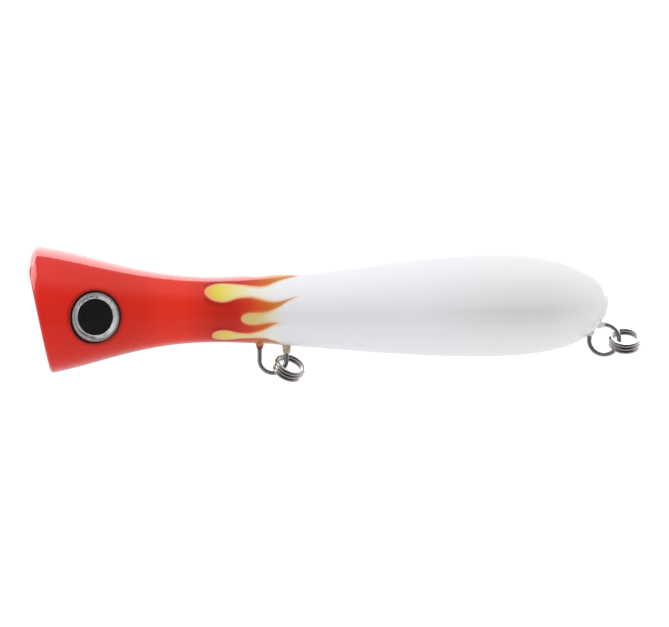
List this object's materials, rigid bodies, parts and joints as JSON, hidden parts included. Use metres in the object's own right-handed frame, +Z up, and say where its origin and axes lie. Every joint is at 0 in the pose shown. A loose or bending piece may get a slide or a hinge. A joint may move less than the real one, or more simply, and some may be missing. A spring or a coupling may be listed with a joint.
{
  "type": "topwater popper lure",
  "caption": "Cup-faced floating popper with a flared head, through-body wire with a recessed line tie, belly and tail hook loops with split rings, glued eyes and an internal rattle.",
  "frame": {"origin": "where the line bears on the inside of the line tie's crown, on the head's axis", "axes": "+X towards the tail, +Y towards the fish's right side, +Z up in the swimming attitude"},
  "size_m": [0.1585, 0.0342, 0.0361],
  "materials": {
    "body_paint": "clear-coated enamel: red head, yellow and orange flame licks, white rear",
    "harness_wire": "drawn stainless wire",
    "split_ring": "nickel-plated spring strip",
    "crimp_brass": "crimped brass sleeve",
    "ballast_brass": "turned brass slug",
    "rattle_glass": "thin clear glass",
    "plug_rubber": "matt black rubber",
    "rattle_steel": "polished steel ball",
    "eye_ring": "vacuum-plated silver foil ring, faceted",
    "eye_pupil": "gloss black",
    "eye_lens": "clear domed resin",
    "seal_red": "red-tinted epoxy bead",
    "seal_pale": "cream epoxy bead"
  },
  "bodies": {
    "lure_body": {"shell_left": "body_paint", "shell_right": "body_paint", "wire_harness": "harness_wire", "nose_crimp_sleeve": "crimp_brass", "tail_crimp_sleeve": "crimp_brass", "mouth_wire_seal": "seal_red", "belly_wire_seal_front": "seal_red", "belly_wire_seal_rear": "seal_pale", "tail_wire_seal_upper": "seal_pale", "tail_wire_seal_lower": "seal_pale", "eye_bezel_left": "eye_ring", "eye_bezel_right": "eye_ring", "eye_pupil_left": "eye_pupil", "eye_pupil_right": "eye_pupil", "eye_lens_left": "eye_lens", "eye_lens_right": "eye_lens", "rattle_tube": "rattle_glass", "rattle_plug": "plug_rubber", "belly_ballast": "ballast_brass", "tail_ballast": "ballast_brass"},
    "belly_ring": {"belly_split_ring": "split_ring"},
    "tail_ring": {"tail_split_ring": "split_ring"},
    "rattle_ball_1": {"rattle_ball_front": "rattle_steel"},
    "rattle_ball_2": {"rattle_ball_middle": "rattle_steel"},
    "rattle_ball_3": {"rattle_ball_rear": "rattle_steel"}
  },
  "joints": [
    {"name": "belly_ring_swing", "type": "hinge", "parent": "lure_body", "child": "belly_ring", "pos_m": [0.05798, 0, -0.01312], "axis": [0, 1, 0], "range_deg": [-30, 135]},
    {"name": "tail_ring_swing", "type": "hinge", "parent": "lure_body", "child": "tail_ring", "pos_m": [0.1436, 0, -0.00796], "axis": [0, 1, 0], "range_deg": [-55, 125]},
    {"name": "rattle_roll", "type": "slide", "parent": "lure_body", "child": "rattle_ball_1", "axis": [1, 0, 0], "range_m": [0, 0.006]},
    {"name": "rattle_roll_middle", "type": "slide", "parent": "lure_body", "child": "rattle_ball_2", "axis": [1, 0, 0], "range_m": [0, 0.006]},
    {"name": "rattle_roll_rear", "type": "slide", "parent": "lure_body", "child": "rattle_ball_3", "axis": [1, 0, 0], "range_m": [0, 0.006]}
  ],
  "couplings": [
    {"joint": "rattle_roll_middle", "follows": "rattle_roll", "ratio": 1},
    {"joint": "rattle_roll_rear", "follows": "rattle_roll", "ratio": 1}
  ]
}
